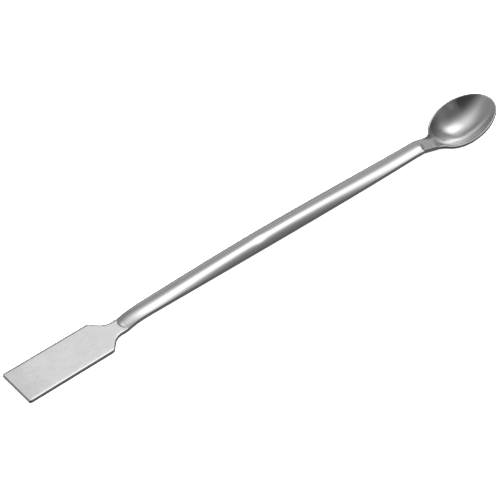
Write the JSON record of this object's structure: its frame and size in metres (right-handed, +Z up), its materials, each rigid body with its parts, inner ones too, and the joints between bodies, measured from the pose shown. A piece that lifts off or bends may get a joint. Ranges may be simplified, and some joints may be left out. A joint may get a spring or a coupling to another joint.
{
  "type": "lab spatula",
  "caption": "Flat blade at one end and a small spoon at the other, joined by a pressed channel handle, for scooping and spreading powders.",
  "frame": {"origin": "on the table, under the middle of the length, with the spatula lying as it rests on the blade's end and the bottom of the bowl", "axes": "+X along the spatula from the blade to the spoon, +Z up out of the bowl"},
  "size_m": [0.1798, 0.018, 0.0086],
  "materials": {
    "steel": "satin blade, polished handle and bowl"
  },
  "bodies": {
    "root": {"spatula": "steel"}
  },
  "joints": []
}
